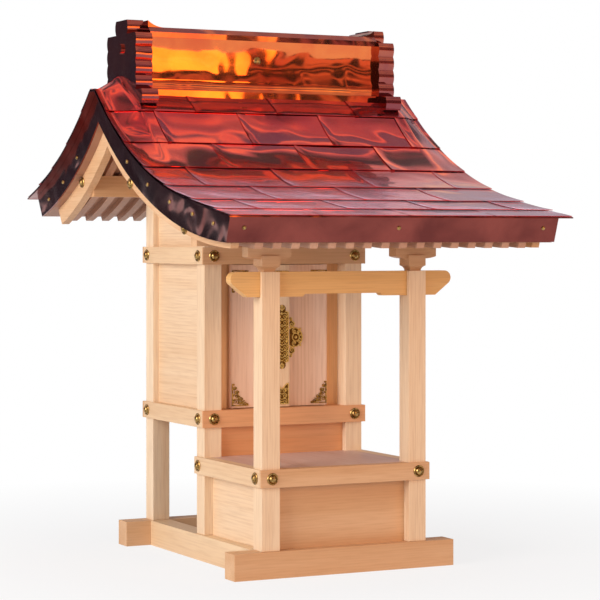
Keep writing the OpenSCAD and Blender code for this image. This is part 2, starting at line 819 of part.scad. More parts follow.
front_sill();
back_sill();
side_sills();
porch_post(-1);  // porch_post_left
porch_post(1);  // porch_post_right
body_post(-1, mid_f, mid_post_top);  // middle_post_left
body_post(1, mid_f, mid_post_top);  // middle_post_right
body_post(-1, back_f, back_post_top);  // back_post_left
body_post(1, back_f, back_post_top);  // back_post_right
porch_front_panel();
porch_side_panels();
porch_floor();
porch_front_rail();
porch_side_rails();
tie_beam();
bearing_blocks();
bracket_arms();
purlin(porch_mid - arm_t / 2, porch_mid + arm_t / 2, porch_purlin_z);  // porch_purlin
kick_panel();
lower_front_rail();
rail_sides(lower_rail_top);  // lower_side_rails
rail_back(lower_rail_top);  // lower_back_rail
upper_front_rail();
rail_sides(upper_rail_top);  // upper_side_rails
rail_back(upper_rail_top);  // upper_back_rail
side_wall(-1);  // side_wall_left
side_wall(1);  // side_wall_right
back_wall();
upper_front_wall();
body_floor();
door_jambs();
door_leaf_left();
door_leaf_right();
meeting_strip();
purlin(mid_f, mid_b, mid_post_top);  // middle_purlin
purlin(back_f, back_b, back_post_top);  // back_purlin
purlin(ridge_y - ridge_beam_t / 2, ridge_y + ridge_beam_t / 2, ridge_beam_z);  // ridge_beam
rafters_front();
rafters_back();
bargeboard_front(-1);  // bargeboard_front_left
bargeboard_front(1);  // bargeboard_front_right
bargeboard_back(-1);  // bargeboard_back_left
bargeboard_back(1);  // bargeboard_back_right
roof_slab_front();
roof_slab_back();
roofing(true, front_lip[0]);  // roofing_front
roofing(false, back_lip[0]);  // roofing_back
ridge_box();
ridge_cap();
ridge_plate(-1);  // ridge_plate_left
ridge_plate(1);  // ridge_plate_right
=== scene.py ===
# %% [markdown]
# # A house shrine in bare cypress, with a swept copper roof
# The solids of the shrine come ready made, in metres, as a frame that nothing here moves.
# This file dresses that frame: it gives the wood its grain and lays the copper sheets on the roof.
# It adds the brass nail covers and door fittings too, and ends with the floor, the light and the room.
# Sizes are written in millimetres, and they become metres where a shape is made.

# %% Load the frame
import json
import math
import random
import bmesh
import bpy
from mathutils import Matrix, Vector

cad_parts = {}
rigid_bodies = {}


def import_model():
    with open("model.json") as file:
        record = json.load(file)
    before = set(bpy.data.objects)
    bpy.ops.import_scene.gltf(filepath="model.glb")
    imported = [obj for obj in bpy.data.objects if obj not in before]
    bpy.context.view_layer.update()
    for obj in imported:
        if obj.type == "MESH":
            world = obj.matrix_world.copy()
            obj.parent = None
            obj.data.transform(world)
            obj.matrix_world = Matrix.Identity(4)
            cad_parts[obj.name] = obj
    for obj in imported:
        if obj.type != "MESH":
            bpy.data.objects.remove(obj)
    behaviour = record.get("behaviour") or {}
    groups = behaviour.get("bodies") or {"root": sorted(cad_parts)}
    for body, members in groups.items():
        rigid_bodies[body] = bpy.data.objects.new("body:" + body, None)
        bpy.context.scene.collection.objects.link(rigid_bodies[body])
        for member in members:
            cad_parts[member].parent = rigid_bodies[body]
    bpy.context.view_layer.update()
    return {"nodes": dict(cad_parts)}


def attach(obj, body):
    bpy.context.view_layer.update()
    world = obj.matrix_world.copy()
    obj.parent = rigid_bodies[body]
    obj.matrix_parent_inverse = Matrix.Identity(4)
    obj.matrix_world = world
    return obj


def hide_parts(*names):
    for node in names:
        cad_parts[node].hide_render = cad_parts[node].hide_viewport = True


for startup_object in list(bpy.data.objects):
    bpy.data.objects.remove(startup_object)
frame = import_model()
MM = 0.001

# %% [markdown]
# ## The camera
# A photograph of a small building is taken from far away with a long lens, so that its posts stay upright.
# The camera is level. Its frame is shifted down instead of tilting, as on an architect's camera.

# %% Place the camera
camera = bpy.data.objects.new("camera", bpy.data.cameras.new("camera"))
camera.data.lens = 132.08
camera.data.sensor_width = 36
camera.data.shift_y = -0.106
camera.location = (-1.3535, -2.7258, 0.4399)
camera.rotation_euler = (math.radians(90), 0, math.radians(-26.871))
bpy.context.scene.collection.objects.link(camera)
bpy.context.scene.camera = camera
print("camera at", tuple(camera.location))

# %% [markdown]
# ## Helpers for materials
# Colours are written as the hex values that a screen shows, and shaders work in linear light.
# One function turns the first into the second, and one adds a node with its settings and its links.
# The others are short names for what comes up most: a noise sized in millimetres, a value spread over
# another range, and a blend of two colours by a share.

# %% Define the material helpers
def linear(hex_colour):
    channels = [int(hex_colour[i:i + 2], 16) / 255 for i in (1, 3, 5)]
    return (*[c / 12.92 if c <= 0.04045 else ((c + 0.055) / 1.055) ** 2.4 for c in channels], 1)


def add_node(tree, kind, inputs=None, **settings):
    made = tree.nodes.new(kind)
    for name, value in settings.items():
        setattr(made, name, value)
    for socket, value in (inputs or {}).items():
        if isinstance(value, bpy.types.NodeSocket):
            tree.links.new(value, made.inputs[socket])
        else:
            made.inputs[socket].default_value = value
    return made


def noise(tree, place, size_mm, detail, distortion=0):
    return add_node(tree, "ShaderNodeTexNoise", {
        "Vector": place, "Scale": 1 / (size_mm * MM), "Detail": detail, "Distortion": distortion}).outputs["Fac"]


def spread(tree, value, low, high, to_low=0, to_high=1):
    return add_node(tree, "ShaderNodeMapRange", {
        "Value": value, "From Min": low, "From Max": high, "To Min": to_low, "To Max": to_high}).outputs[0]


def blend(tree, share, first, second):
    return add_node(tree, "ShaderNodeMix", {0: share, 6: first, 7: second}, data_type="RGBA").outputs[2]


def new_material(name, **constants):
    material = bpy.data.materials.new(name)
    material.use_nodes = True
    shader = material.node_tree.nodes["Principled BSDF"]
    for socket, value in constants.items():
        shader.inputs[socket.replace("_", " ")].default_value = value
    return material, material.node_tree, shader


print("mid grey in linear light:", round(linear("#808080")[0], 3))

# %% [markdown]
# ## Planed cypress
# Hinoki is a pale, even cypress with narrow growth rings. It is planed and left bare, so it has a soft sheen.
# A solid pattern suits sawn timber: rings round a distant heart run straight along every face.
# They show as arcs where a timber is cut across. The coordinates are turned until the grain lies along Z.
# Real rings are about 1.5 mm apart. They are drawn at 3.4 mm, because finer ones vanish in the picture.
# Only the late wood at the end of a year is dark, so the share of the ring colour starts half way up the wave.
# The rings fade in and out along a board, as they do where the saw leaves them at a slant.

# %% Mix the cypress
RING_MM, CLOUD_MM, FIBRE_MM = 3.4, 45.5, 2.38
WAVE_STEP = 0.314  # the length after which a wave of scale 1 repeats
ALONG_GRAIN = 0.05  # patterns are drawn out 20 times along the grain
LATE_WOOD, FIBRE = linear("#C08A5A"), linear("#A9713F")
GRAIN_TURN = {"x": (0, math.radians(-90), 0), "y": (math.radians(90), 0, 0), "z": (0, 0, 0)}


def cypress(name, along, pale, warm, heart):
    material, tree, shader = new_material(name, Roughness=0.48)
    place = add_node(tree, "ShaderNodeTexCoord").outputs["Object"]
    turned = add_node(tree, "ShaderNodeMapping", {
        "Vector": place, "Rotation": GRAIN_TURN[along], "Location": heart}).outputs[0]
    drawn_out = add_node(tree, "ShaderNodeMapping", {"Vector": turned, "Scale": (1, 1, ALONG_GRAIN)}).outputs[0]
    rings = add_node(tree, "ShaderNodeTexWave", {
        "Vector": drawn_out, "Scale": WAVE_STEP / (RING_MM * MM), "Distortion": 3, "Detail": 2,
        "Detail Scale": 0.2}, wave_type="RINGS", rings_direction="Z", wave_profile="SAW").outputs["Fac"]
    cloud_share = spread(tree, noise(tree, drawn_out, CLOUD_MM, 3), 0.32, 0.68)
    fibres = noise(tree, drawn_out, FIBRE_MM, 2)
    tone = blend(tree, cloud_share, linear(pale), linear(warm))
    late_wood = spread(tree, rings, 0.5, 1, 0, 0.3)
    ring_share = add_node(tree, "ShaderNodeMath", {0: late_wood, 1: cloud_share}, operation="MULTIPLY").outputs[0]
    ringed = blend(tree, ring_share, tone, LATE_WOOD)
    colour = blend(tree, spread(tree, fibres, 0.45, 0.75, 0, 0.22), ringed, FIBRE)
    tree.links.new(colour, shader.inputs["Base Color"])
    relief = add_node(tree, "ShaderNodeBump", {"Height": fibres, "Strength": 0.25, "Distance": 0.4 * MM})
    tree.links.new(relief.outputs[0], shader.inputs["Normal"])
    return material


# The posts are among the palest cuts, so the uprights lead the eye.
posts_cypress = cypress("cypress_planed_posts", "z", "#F2DABA", "#E8C69E", (0.21, 0.17, 0.0))
# The back wall and the wall over the doors are warmer and darker, a painted shade that sets the inside back.
panels_cypress_painted_shade = cypress("cypress_planed_panels_painted_shade", "z", "#E8C4A2", "#DCAF88", (0.34, 0.29, 0.13))
# The door leaves are pale wood, and their faint pink is painted shade of the porch, so they stand out there.
doors_cypress_painted_shade = cypress("cypress_planed_doors_painted_shade", "z", "#F2D3BC", "#E8C0A2", (0.27, 0.41, 0.05))
# Timbers that run across are browner: painted shade for their front faces, which parts them from the lit side.
rails_x_cypress_painted_shade = cypress("cypress_planed_rails_across_painted_shade", "x", "#DFB68C", "#CD9B6C", (0.19, 0.23, 0.3))
# Rails from front to back are a little browner than the walls, a painted shade, so the frame shows on the lit side.
rails_y_cypress_painted_shade = cypress("cypress_planed_rails_deep_painted_shade", "y", "#E9CAA2", "#DEB78C", (0.24, 0.2, 0.11))
# Side walls and side panels are pale boards that catch the window light.
walls_cypress = cypress("cypress_planed_side_walls", "y", "#F0D6B4", "#E7C49C", (0.24, 0.2, 0.11))
# The tie beam is yellow, which picks the carved timber out from the posts.
beam_cypress = cypress("cypress_planed_tie_beam", "x", "#ECC184", "#E0AB62", (0.22, 0.16, 0.4))
# The bargeboards are honey coloured, a warm line under the dark edge of the roof.
roof_cypress = cypress("cypress_planed_roof_timbers", "y", "#E6C198", "#D9A878", (0.18, 0.26, 0.2))
# The floors are greyer and pinker: painted shade and a painted reflection of the copper, so they lie back between the
# warm rails.
floor_cypress_painted_shade_and_reflection = cypress("cypress_planed_floor_boards_painted_shade_and_reflection", "y", "#DCC0B6", "#CFAB9C", (0.26, 0.31, 0.09))
# The kick board and the door sill are the most orange, painted warm light on their front faces, a warm band under the
# doors.
kick_cypress_painted_warm_light = cypress("cypress_planed_kick_board_painted_warm_light", "x", "#E8B486", "#DA9A68", (0.15, 0.27, 0.36))
# The jambs are orange too, painted shade beside the doors, so the pale doors have a darker frame.
jambs_cypress_painted_shade = cypress("cypress_planed_jambs_painted_shade", "z", "#EABF8E", "#DCA66E", (0.31, 0.18, 0.07))
# The rafters are dull and brown, painted shade under the eaves, so they fall back there.
rafters_cypress_painted_shade = cypress("cypress_planed_rafters_painted_shade", "y", "#CDA48A", "#B88A72", (0.23, 0.21, 0.17))
print("cypress in twelve cuts")

# %% [markdown]
# ## Copper sheet
# The roof is thin copper, polished and lacquered, so it mirrors the room in deep red and orange.
# Hand-laid sheet is never flat: soft dents bend the reflections. Noise drives a bump for those dents.
# The scale of the noise comes from the size of the dents, and the lacquer is a clear coat on the metal.
# Where the roof field is seen at a slant it pales to mauve. A sheen over a slightly rough coat gives that bloom.

# %% Mix the copper
STAIN_MM = 71.4
BLOOM = {"Sheen Weight": 0.8, "Sheen Roughness": 0.22, "Sheen Tint": linear("#DCCCE4")}


def copper(name, bright, deep, dent_mm, dent_depth_mm, roughness, lacquer):
    material, tree, shader = new_material(
        name, Metallic=1.0, Roughness=roughness, Coat_Weight=lacquer, Coat_Roughness=0.24, Coat_IOR=1.33)
    place = add_node(tree, "ShaderNodeTexCoord").outputs["Object"]
    stains = noise(tree, place, STAIN_MM, 4, 0.4)
    colour = blend(tree, spread(tree, stains, 0.35, 0.65), linear(bright), linear(deep))
    tree.links.new(colour, shader.inputs["Base Color"])
    relief = add_node(tree, "ShaderNodeBump", {
        "Height": noise(tree, place, dent_mm, 0.6, 0.5), "Strength": 1, "Distance": dent_depth_mm * MM})
    tree.links.new(relief.outputs[0], shader.inputs["Normal"])
    tree.links.new(relief.outputs[0], shader.inputs["Coat Normal"])
    return material


# The sheets of the roof field are deep red and the smoothest, so the whole ceiling lies in them.
sheet_copper = copper("copper_sheet_lacquered", "#DA4238", "#BE2A34", 75, 2.4, 0.05, 1.0)
for socket, value in BLOOM.items():
    sheet_copper.node_tree.nodes["Principled BSDF"].inputs[socket].default_value = value
# The ridge box is orange and polished, the brightest mirror on the roof.
ridge_copper = copper("copper_ridge_polished", "#EC7E44", "#DC5E38", 60, 2.2, 0.06, 0.5)
# The ridge cap and its end plates are darker, a painted dark reflection of the room, which frames the bright box.
plate_copper_painted_dark_reflection = copper("copper_plates_painted_dark_reflection", "#B4604C", "#8A4348", 60, 2.2, 0.07, 0.5)
# The wrapped edges have browned. The same dark copper on the roofing under the sheets is painted shade, so the seams
# and the eave lip read as dark lines.
trim_copper_and_seam_shade = copper("copper_trim_browned_and_seam_shade", "#8C443C", "#6A2F2B", 42, 2.6, 0.1, 0.4)
print("copper for the roof field, the ridge, its plates and the trim")

# %% [markdown]
# ## Dress the solids
# Every solid of the frame takes one of these materials, by the way its grain runs in the real joinery. Many cuts also
# carry painted shade for where they stand; the kick board carries painted warm light, the floors and the ridge plates
# a painted reflection.
# A narrow bevel takes the sharpness off the square timbers, as a few strokes of a plane do.
# The solids come as loose triangles, so a weld goes before the bevel. Curved pieces keep their own smooth shading.

# %% Give each solid its material
PLANED_MM, WELD_MM = 0.7, 0.01
dress = {
    posts_cypress: "porch_post_left porch_post_right middle_post_left middle_post_right "
                   "back_post_left back_post_right meeting_strip",
    jambs_cypress_painted_shade: "door_jambs",
    kick_cypress_painted_warm_light: "kick_panel lower_front_rail",
    panels_cypress_painted_shade: "back_wall upper_front_wall",
    doors_cypress_painted_shade: "door_leaf_left door_leaf_right",
    rails_x_cypress_painted_shade: "front_sill back_sill porch_front_rail lower_back_rail upper_front_rail "
                     "upper_back_rail porch_front_panel porch_purlin middle_purlin back_purlin ridge_beam "
                     "bracket_arms bearing_blocks",
    rails_y_cypress_painted_shade: "side_sills porch_side_rails lower_side_rails upper_side_rails",
    walls_cypress: "side_wall_left side_wall_right porch_side_panels",
    floor_cypress_painted_shade_and_reflection: "porch_floor body_floor",
    beam_cypress: "tie_beam",
    roof_cypress: "bargeboard_front_left bargeboard_front_right bargeboard_back_left bargeboard_back_right",
    rafters_cypress_painted_shade: "rafters_front rafters_back",
    # The roofing under the sheets takes the dark trim copper as painted shade in the seams.
    trim_copper_and_seam_shade: "roof_slab_front roof_slab_back roofing_front roofing_back",
    ridge_copper: "ridge_box",
    plate_copper_painted_dark_reflection: "ridge_cap ridge_plate_left ridge_plate_right",
}
square_timbers = (
    "front_sill back_sill side_sills porch_post_left porch_post_right middle_post_left middle_post_right "
    "back_post_left back_post_right porch_front_rail porch_side_rails lower_front_rail lower_side_rails "
    "lower_back_rail upper_front_rail upper_side_rails upper_back_rail meeting_strip door_jambs").split()
for material, names in dress.items():
    for name in names.split():
        solid = frame["nodes"][name]
        solid.data.materials.clear()
        solid.data.materials.append(material)
        if name in square_timbers:
            weld = solid.modifiers.new("join the triangles", "WELD")
            weld.merge_threshold = WELD_MM * MM
            planed = solid.modifiers.new("plane the edges", "BEVEL")
            planed.width = PLANED_MM * MM
            planed.segments = 2
            planed.limit_method = "ANGLE"
print("dressed", sum(len(names.split()) for names in dress.values()), "solids")

# %% [markdown]
# ## The form of the roof
# Each slope is drawn in section first, as arcs along the verges. The front one flattens out towards the eave.
# Between the verges the roof stands up to a straight crown under the ridge, and that rise fades out down the slope.
# The sheets are laid by these sizes, so that they sit on the solid roofing without any fitting by eye.

# %% Draw the arcs of the verges
RIDGE_Y = 94.5
FRONT_EAVE, BACK_EAVE, VERGE_PEAK = (-352, 464.7), (352, 496), (RIDGE_Y, 649)


def arc(centre, radius):
    return lambda y: centre.y - math.sqrt(radius ** 2 - (y - centre.x) ** 2)


def sweep(eave, top, radius):
    run = Vector(top) - Vector(eave)
    up = Vector((-run.y, run.x)).normalized() * math.copysign(1, run.x)
    return arc((Vector(eave) + Vector(top)) / 2 + up * math.sqrt(radius ** 2 - run.length_squared / 4), radius)


def double_sweep(eave, top, eave_slope, joint_slope, low_radius):
    eave_up, joint_up = [Vector((-math.sin(math.radians(turn)), math.cos(math.radians(turn))))
                         for turn in (eave_slope, joint_slope)]
    low_centre = Vector(eave) + eave_up * low_radius
    joint = low_centre - joint_up * low_radius
    run = Vector(top) - joint
    high_radius = run.length_squared / (2 * joint_up.dot(run))
    flat, steep = arc(low_centre, low_radius), arc(joint + joint_up * high_radius, high_radius)
    return lambda y: flat(y) if y < joint.x else steep(y)


front_verge = double_sweep(FRONT_EAVE, VERGE_PEAK, eave_slope=8.6, joint_slope=11.5, low_radius=3000)
back_verge = sweep(BACK_EAVE, VERGE_PEAK, radius=580)
print("front verge half way up:", round(front_verge(-130), 1), "back verge half way up:", round(back_verge(223), 1))

# %% [markdown]
# ## The field between the verges
# A slope is a function here: it gives the height of the roofing over any point of the plan.
# Two more functions read it: one finds how far up the slope a height is reached, one finds which way is out.

# %% Describe the two slopes
VERGE_TOP, CREST_Z = 640, 660
LIP_X, VERGE_X, BEND_W = 244.5, 235, 32
CROWN_HALF, CROWN_RISE, CROWN_FADE = 74, 25, 150


def slope(eave, verge):
    def lip(y):
        return min(VERGE_TOP, verge(y))
    crown_edge = lip(RIDGE_Y + math.copysign(CROWN_HALF, eave[0])) + CROWN_RISE

    def height(x, y):
        out = abs(y - RIDGE_Y)
        if out < CROWN_HALF:
            field = CREST_Z + (crown_edge - CREST_Z) * out / CROWN_HALF
        else:
            field = lip(y) + CROWN_RISE * max(0, 1 - (out - CROWN_HALF) / CROWN_FADE) ** 2
        share = max(0, min(1, (VERGE_X - abs(x)) / BEND_W))
        return lip(y) + (field - lip(y)) * share
    return {"eave_y": eave[0], "height": height}


def reach(roof, x, z):
    low, high = roof["eave_y"], RIDGE_Y
    for halving in range(26):
        middle = (low + high) / 2
        if roof["height"](x, middle) < z:
            low = middle
        else:
            high = middle
    return low


def slope_normal(roof, x, y):
    height = roof["height"]
    along_x = Vector((2, 0, height(min(x + 1, LIP_X), y) - height(max(x - 1, -LIP_X), y)))
    along_y = Vector((0, 2, height(x, y + 1) - height(x, y - 1)))
    return along_x.cross(along_y).normalized()


front_slope, back_slope = slope(FRONT_EAVE, front_verge), slope(BACK_EAVE, back_verge)
print("field height at the eave and half way up:", front_slope["height"](0, -350), front_slope["height"](0, -130))

# %% [markdown]
# ## One helper for pieces
# Every new piece ends the same way: its normals are made to face out, and it becomes an object at the origin.
# It takes a material and rides on a body of the frame. Smooth shading stops at the sharper edges.

# %% Define the piece helper
SHARP_DEGREES = 35


def finish_piece(name, bm, material, body="shrine"):
    bmesh.ops.recalc_face_normals(bm, faces=bm.faces)
    mesh = bpy.data.meshes.new(name)
    bm.to_mesh(mesh)
    bm.free()
    mesh.materials.append(material)
    mesh.polygons.foreach_set("use_smooth", [True] * len(mesh.polygons))
    mesh.set_sharp_from_angle(angle=math.radians(SHARP_DEGREES))
    piece = bpy.data.objects.new(name, mesh)
    bpy.context.scene.collection.objects.link(piece)
    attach(piece, body)
    print(name, len(mesh.polygons), "faces on", body)
    return piece


print("edges over", SHARP_DEGREES, "degrees stay sharp")

# %% [markdown]
# ## Copper sheets in courses
# The roof is covered from the eave up with sheets about 124 mm wide, each course lapping the one below.
# The seams of one course stand over the middles of the next, as in brickwork.
# Each sheet starts as a flat grid that is bent onto the slope. It is lifted a little at its lower and left edges.
# A small belly or hollow in each one bends its reflection, and solidify then gives it the thickness of a folded edge.

# %% Lay the sheets
SHEET_W, SHEET_T, LAP, SHORTEST = 124, 0.8, 5, 20
LIFT, LOW_EDGE_LIFT, LEFT_EDGE_LIFT, LEFT_EDGE_RUN, EAVE_LIFT = 0.9, 2.0, 1.1, 5, 1.4
FRONT_COURSES = [464.9, 472.1, 484.6, 503.0, 528.8, 563.6, 608.4, CREST_Z + 1]
BACK_COURSES = [496.2, 511.0, 534.0, 567.0, 610.0, CREST_Z + 1]
hand = random.Random(11)


def lay_sheet(bm, roof, x0, x1, z0, z1, lap, at_eave):
    grid = bmesh.ops.create_grid(bm, x_segments=22, y_segments=10, size=0.5)["verts"]
    belly, lean, nod = hand.uniform(-1.0, 1.3), hand.uniform(-0.5, 0.5), hand.uniform(0, 0.9)
    for vert in grid:
        u, w = vert.co.x + 0.5, vert.co.y + 0.5
        x = x0 + (x1 - x0) * u
        low, high = reach(roof, x, z0), reach(roof, x, z1) + math.copysign(lap, -roof["eave_y"])
        y = low + (high - low) * w
        lift = LIFT + LOW_EDGE_LIFT * (1 - w) ** 2 + LEFT_EDGE_LIFT * math.exp(-u * (x1 - x0) / LEFT_EDGE_RUN)
        lift += belly * math.sin(math.pi * u) * math.sin(math.pi * w) + lean * (u - 0.5) + nod * (w - 0.5) * (1 - w)
        if at_eave:
            lift = min(lift, EAVE_LIFT)
        laid = Vector((x, y, roof["height"](x, y))) + slope_normal(roof, x, y) * lift
        laid.x = max(1 - LIP_X, min(LIP_X - 1, laid.x))
        vert.co = laid * MM


def lay_slope(name, roof, levels):
    bm = bmesh.new()
    edge = LIP_X - 0.4
    for course, (z0, z1) in enumerate(zip(levels, levels[1:])):
        first = 0 if course % 2 == 0 else SHEET_W / 2
        seams = [first + SHEET_W * i for i in range(-3, 4) if abs(first + SHEET_W * i) < edge - SHORTEST]
        edges = [-edge] + seams + [edge]
        lap = 0 if z1 == levels[-1] else LAP
        for x0, x1 in zip(edges, edges[1:]):
            lay_sheet(bm, roof, x0, x1 + (LAP if x1 < edge else 0), z0, z1, lap, course == 0)
    bmesh.ops.solidify(bm, geom=bm.faces[:], thickness=SHEET_T * MM)
    finish_piece(name, bm, sheet_copper)


lay_slope("roof_sheets_front", front_slope, FRONT_COURSES)
lay_slope("roof_sheets_back", back_slope, BACK_COURSES)

# %% [markdown]
# ## Soffit boards
# Under the copper the roof is boarded, and the rafters show against those boards from below.
# Each board is a thin grid across the whole width, bent to the sweep of the slab and then given its thickness.
# Narrow gaps between the boards make the joints.

# %% Board the undersides
SOFFIT_W, SOFFIT_BOARD, SOFFIT_T, SOFFIT_DROP = 466, 44, 0.5, 0.3
BOARD_SHARE = 0.985  # the rest of each board's width is the joint
UNDER_PEAK = (RIDGE_Y, 597)
front_underside = sweep((-322, 432.7), UNDER_PEAK, radius=675)
back_underside = sweep((316, 469), UNDER_PEAK, radius=495)
# The soffit is the brownest cut, painted shade for the underside of the roof, so the rafters show against it.
soffit_cypress_painted_shade = cypress("cypress_planed_soffit_painted_shade", "x", "#B98C74", "#A5775F", (0.16, 0.2, 0.5))


def board_underside(name, underside, y0, y1):
    bm = bmesh.new()
    count = round(abs(y1 - y0) / SOFFIT_BOARD)
    for board in range(count):
        near = y0 + (y1 - y0) * board / count
        far = y0 + (y1 - y0) * (board + BOARD_SHARE) / count
        for vert in bmesh.ops.create_grid(bm, x_segments=1, y_segments=4, size=0.5)["verts"]:
            y = near + (far - near) * (vert.co.y + 0.5)
            vert.co = Vector((vert.co.x * SOFFIT_W, y, underside(y) - SOFFIT_DROP)) * MM
    bmesh.ops.solidify(bm, geom=bm.faces[:], thickness=SOFFIT_T * MM)
    finish_piece(name, bm, soffit_cypress_painted_shade)


board_underside("soffit_boards_front", front_underside, y0=-319, y1=94)
board_underside("soffit_boards_back", back_underside, y0=313, y1=95)

# %% [markdown]
# ## The front bargeboards
# A bargeboard is sawn from a wide plank, deep at the ridge and slender at the eave, so the long slope looks light.
# The board here is a strip that hangs square from the sweep of the slab and narrows on its way down.
# Two planes then cut its ends: one upright at the ridge, one square to the fascia. Extruding gives it its thickness.

# %% Saw the front bargeboards
BARGE_X, BARGE_T = 211, 11
FOOT_Y, HEAD_Y = -312, 120  # the strip is drawn past the ridge and then cut
BARGE_DEPTHS = ((FOOT_Y, 8), (-170, 12.5), (30, 25))
FRONT_FASCIA_OUT = (0, -0.946, -0.325)
END_CUTS = (((0, RIDGE_Y, 0), (0, 1, 0)), ((0, -308.2, 433.4), FRONT_FASCIA_OUT))


def barge_depth(y):
    for (y0, depth0), (y1, depth1) in zip(BARGE_DEPTHS, BARGE_DEPTHS[1:]):
        if y <= y1:
            return depth0 + (depth1 - depth0) * (y - y0) / (y1 - y0)
    return BARGE_DEPTHS[-1][1]


def verts_of(parts):
    return [part for part in parts if isinstance(part, bmesh.types.BMVert)]


def thicken(bm, faces, along):
    raised = bmesh.ops.extrude_face_region(bm, geom=faces)["geom"]
    bmesh.ops.translate(bm, vec=along, verts=verts_of(raised))


for side, name in ((-1, "left"), (1, "right")):
    bm = bmesh.new()
    for vert in bmesh.ops.create_grid(bm, x_segments=60, y_segments=1, size=0.5)["verts"]:
        y = FOOT_Y + (HEAD_Y - FOOT_Y) * (vert.co.x + 0.5)
        fall = front_underside(y + 0.5) - front_underside(y - 0.5)
        hang = Vector((0, fall, -1)).normalized() * barge_depth(y) * (vert.co.y + 0.5)
        vert.co = (Vector((side * BARGE_X, y, front_underside(y))) + hang) * MM
    for place, outward in END_CUTS:
        bmesh.ops.bisect_plane(bm, geom=bm.verts[:] + bm.edges[:] + bm.faces[:], plane_co=Vector(place) * MM,
                               plane_no=outward, clear_outer=True)
    thicken(bm, bm.faces[:], (side * BARGE_T * MM, 0, 0))
    board = finish_piece("bargeboard_tapered_" + name, bm, roof_cypress)
    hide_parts("bargeboard_front_" + name)

# %% [markdown]
# ## Turned brass
# Round brass covers hide the nails where a rail crosses a post, and where a bargeboard meets a purlin.
# The copper trim is held with plain dome-headed brass nails. Both are turned shapes, so a profile is drawn once
# and spun round a full circle. The poles are merged, and a matrix then turns each copy to face out of its wall.

# %% Define the brass and the turning
TARNISH_MM = 3
TURN_STEPS = 20


def aged_brass(name, bright, dark):
    material, tree, shader = new_material(name, Metallic=1.0)
    place = add_node(tree, "ShaderNodeTexCoord").outputs["Object"]
    tarnish = noise(tree, place, TARNISH_MM, 3)
    colour = blend(tree, spread(tree, tarnish, 0.4, 0.66), linear(bright), linear(dark))
    tree.links.new(colour, shader.inputs["Base Color"])
    tree.links.new(spread(tree, tarnish, 0, 1, 0.2, 0.42), shader.inputs["Roughness"])
    return material


def turn_on_wall(bm, profile, place, outward):
    verts = [bm.verts.new((radius * MM, 0, height * MM)) for radius, height in profile]
    edges = [bm.edges.new(pair) for pair in zip(verts, verts[1:])]
    before = set(bm.verts) - set(verts)
    bmesh.ops.spin(bm, geom=verts + edges, cent=(0, 0, 0), axis=(0, 0, 1), angle=math.tau, steps=TURN_STEPS,
                   use_merge=True)
    turned = [vert for vert in bm.verts if vert not in before]
    bmesh.ops.remove_doubles(bm, verts=turned, dist=WELD_MM * MM)
    turned = [vert for vert in bm.verts if vert not in before]
    facing = Vector(outward).to_track_quat("Z", "Y").to_matrix().to_4x4()
    bmesh.ops.transform(bm, matrix=Matrix.Translation(Vector(place) * MM) @ facing, verts=turned)


# Covers and nails are dull gold with brown in it, so each reads as a dark ring round a bright spot.
cover_brass = aged_brass("brass_nail_covers_aged", "#BE9A5E", "#6A4E28")
print("a turned shape has", TURN_STEPS, "steps")

# %% [markdown]
# ## Nail covers
# A cover has a rolled rim, a groove and a dome. Covers sit at the height of the rails, mostly in pairs round a
# corner of the frame, and on the bargeboards over the ends of the purlins.
# Their places come from the faces of the timbers that they sit on.

# %% Turn the nail covers
COVER = [(0, 0), (7.7, 0), (7.9, 0.9), (7.2, 1.7), (6.2, 1.6), (5.4, 0.7), (5.0, 1.7), (4.4, 3.1), (3.2, 4.2),
         (1.6, 4.8), (0, 5.0)]
RAIL_X, POST_X = 124.8, 108.2
PORCH_Y, MIDDLE_Y, BACK_Y = -173.2, 5.8, 183.2
PORCH_FACE_Y, DOOR_FACE_Y, BACK_FACE_Y = -189.8, -10.8, 199.8
PORCH_RAIL_Z, LOWER_RAIL_Z, UPPER_RAIL_Z = 128.4, 192.0, 413.4
PURLIN_ENDS = ((9.2, 510.9), (-169.4, 449.9), (187.2, 516.4))
covers = bmesh.new()
for side in (-1, 1):
    for z in (LOWER_RAIL_Z, UPPER_RAIL_Z):
        turn_on_wall(covers, COVER, (side * POST_X, DOOR_FACE_Y, z), (0, -1, 0))
        turn_on_wall(covers, COVER, (side * POST_X, BACK_FACE_Y, z), (0, 1, 0))
        for y in (MIDDLE_Y, BACK_Y):
            turn_on_wall(covers, COVER, (side * RAIL_X, y, z), (side, 0, 0))
    turn_on_wall(covers, COVER, (side * POST_X, PORCH_FACE_Y, PORCH_RAIL_Z), (0, -1, 0))
    for y in (PORCH_Y, MIDDLE_Y):
        turn_on_wall(covers, COVER, (side * RAIL_X, y, PORCH_RAIL_Z), (side, 0, 0))
    for y, z in PURLIN_ENDS:
        turn_on_wall(covers, COVER, (side * (BARGE_X + BARGE_T), y, z), (side, 0, 0))
finish_piece("nail_covers", covers, cover_brass)

# %% [markdown]
# ## Roof nails
# Plain nails hold the copper along the fascias and the verges, at roughly even steps.
# A larger boss of the same shape sits on each face of the ridge box, off the middle.

